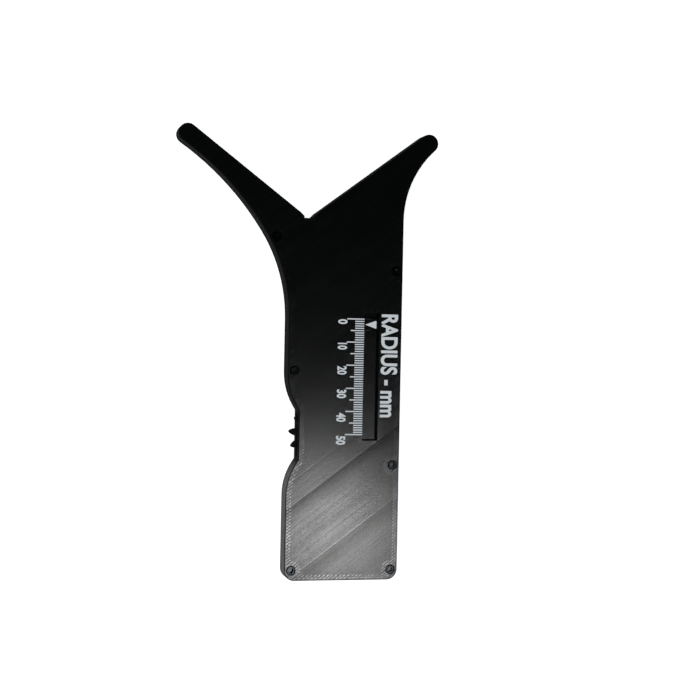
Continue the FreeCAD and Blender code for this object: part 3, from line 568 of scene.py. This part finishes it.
# Each number: how far below its line it starts, and its length
NUMBERS = {"0": (0.2, 2.1), "10": (0.4, 2.9), "20": (0.4, 3.7), "30": (0.5, 3.8), "40": (0.6, 3.9),
           "50": (0.6, 3.8)}
LEGEND_BASE, LEGEND_TOP = 32.74, 40.27
LEGEND_FROM, LEGEND_TO = -40.24, -84.94
# Both are bolder than the font, by these shares of its size
NUMBER_BOLD, LEGEND_BOLD = 0.035, 0.03
FONT_SAME_CORNER = 1e-5


def lettering(name, words, base, top, begin, end, bold):
    """White words that run down the face from y begin to y end, with their tops to +X."""
    curve = bpy.data.curves.new(name, "FONT")
    curve.body = words
    curve.offset = bold
    curve.resolution_u = 6
    draft = bpy.data.objects.new(name + "_draft", curve)
    bpy.context.scene.collection.objects.link(draft)
    bpy.context.view_layer.update()
    graph = bpy.context.evaluated_depsgraph_get()
    flat = bpy.data.meshes.new_from_object(draft.evaluated_get(graph))
    bpy.data.objects.remove(draft)
    ink = bmesh.new()
    ink.from_mesh(flat)
    bpy.data.meshes.remove(flat)
    bmesh.ops.remove_doubles(ink, verts=ink.verts, dist=FONT_SAME_CORNER)
    corners = np.array([v.co for v in ink.verts])
    low, high = corners.min(0), corners.max(0)
    wide, tall = high[0] - low[0], high[1] - low[1]
    real_length, real_height = (begin - end) * MM, (top - base) * MM
    bmesh.ops.translate(ink, verts=ink.verts, vec=(-low[0], -low[1], 0))
    bmesh.ops.scale(ink, verts=ink.verts, vec=(real_length / wide, real_height / tall, 1))
    bmesh.ops.rotate(ink, verts=ink.verts, cent=(0, 0, 0),
                     matrix=Matrix.Rotation(-math.pi / 2, 3, "Z"))
    bmesh.ops.translate(ink, verts=ink.verts, vec=(base * MM, begin * MM, FRONT))
    ink_depth(ink, INLAY_DEPTH * MM)
    finish_piece(name, ink, white_pla, "case")


for number, (below, length) in NUMBERS.items():
    start = SCALE_ZERO - int(number) - below
    lettering("number_" + number, number, NUMBER_BASE, NUMBER_TOP, start, start - length,
              NUMBER_BOLD)
lettering("legend", "RADIUS - mm", LEGEND_BASE, LEGEND_TOP, LEGEND_FROM, LEGEND_TO, LEGEND_BOLD)

# %% [markdown]
# ## Camera
# The camera was worked out from the photograph: it hangs 0.68 m above the bench and 0.14 m to
# the left, so the left walls show and the right face of the V is seen a little from outside.

# %% Camera
# Places are in metres, directions have no unit, and the focal length is in the photo's pixels
EYE = Vector((-0.13570, -0.04749, 0.67589))
CAMERA_RIGHT = Vector((0.97392, 0.02029, 0.22598))
CAMERA_UP = Vector((-0.01697, 0.99972, -0.01663))
FOCAL_PIXELS = 1583.35
PHOTO_PIXELS = 700
SENSOR = 36.0
camera_data = bpy.data.cameras.new("camera")
camera_data.sensor_width = SENSOR
camera_data.lens = FOCAL_PIXELS / PHOTO_PIXELS * SENSOR
camera = bpy.data.objects.new("camera", camera_data)
bpy.context.scene.collection.objects.link(camera)
backwards = CAMERA_RIGHT.cross(CAMERA_UP)
axes = Matrix((CAMERA_RIGHT, CAMERA_UP, backwards)).transposed()
camera.matrix_world = Matrix.Translation(EYE) @ axes.to_4x4()
bpy.context.scene.camera = camera
print("lens", round(camera_data.lens, 2), "mm")

# %% [markdown]
# ## Floor and light
# The photograph has a pure white ground without a shadow, as on a light table, whose sheet of
# acrylic is lit from below. The face is near black at the top and fades to a soft grey glare at
# the bottom. So one small light stands where only the lower face mirrors it to the camera, and
# five soft lights in a half circle round the left side whiten the inlays from 45 degrees up,
# where the face doesn't mirror them to the camera.

# %% Light table
# Half the floor's width in metres
FLOOR_REACH = 3.0
GLOW = 0.78
floor_mesh = bpy.data.meshes.new("floor")
ground = bmesh.new()
bmesh.ops.create_grid(ground, x_segments=1, y_segments=1, size=FLOOR_REACH)
ground.to_mesh(floor_mesh)
ground.free()
floor = bpy.data.objects.new("floor", floor_mesh)
bpy.context.scene.collection.objects.link(floor)
table_top, _, _ = new_material("white acrylic, opal, lit from below", Base_Color=linear("#f4f4f4"),
                               Roughness=0.6, Emission_Color=linear("#ffffff"),
                               Emission_Strength=GLOW)
floor_mesh.materials.append(table_top)


# %% Lights
# All in metres. The side lights stand round the middle, each with its direction in degrees
GLARE_PLACE, GLARE_AIM = (0.158, -0.222, 0.67), (0.012, -0.135, 0.0)
GLARE_SIZE, GLARE_RADIANCE = 0.09, 22.0
MIDDLE = Vector((0.0, -0.06, 0.0))
SIDE_LIGHTS = {"left": 180, "far left": 130, "near left": 230, "far": 90, "near": 270}
SIDE_AWAY, SIDE_SIZE, SIDE_RADIANCE = 1.2, 0.7, 2.85
SKY_STRENGTH = 0.013


def soft_light(name, place, aim, size, radiance):
    """A square area light that looks at a point. Its power follows from its radiance."""
    data = bpy.data.lights.new(name, "AREA")
    data.shape = "SQUARE"
    data.size = size
    data.energy = radiance * math.pi * size ** 2
    light = bpy.data.objects.new(name, data)
    turned = (Vector(aim) - Vector(place)).to_track_quat("-Z", "Y").to_matrix().to_4x4()
    light.matrix_world = Matrix.Translation(place) @ turned
    bpy.context.scene.collection.objects.link(light)
    print(name, "gives", round(data.energy, 1), "W")


soft_light("glare light", GLARE_PLACE, GLARE_AIM, GLARE_SIZE, GLARE_RADIANCE)
for side, degrees in SIDE_LIGHTS.items():
    heading = math.radians(degrees)
    aside = Vector((math.cos(heading), math.sin(heading), 1.0)) * SIDE_AWAY
    soft_light(side + " light", MIDDLE + aside, MIDDLE, SIDE_SIZE, SIDE_RADIANCE)
world = bpy.data.worlds.new("studio")
world.use_nodes = True
background = world.node_tree.nodes["Background"]
background.inputs["Color"].default_value = linear("#c4e8f0")
background.inputs["Strength"].default_value = SKY_STRENGTH
bpy.context.scene.world = world
bpy.context.scene.view_settings.view_transform = "Standard"

# %% Finishes of the CAD nodes that stay
for node, material in (("scale_marks", white_pla), ("gear_axle", bright_steel),
                       ("thread_inserts", brass)):
    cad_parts[node].data.materials.clear()
    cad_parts[node].data.materials.append(material)
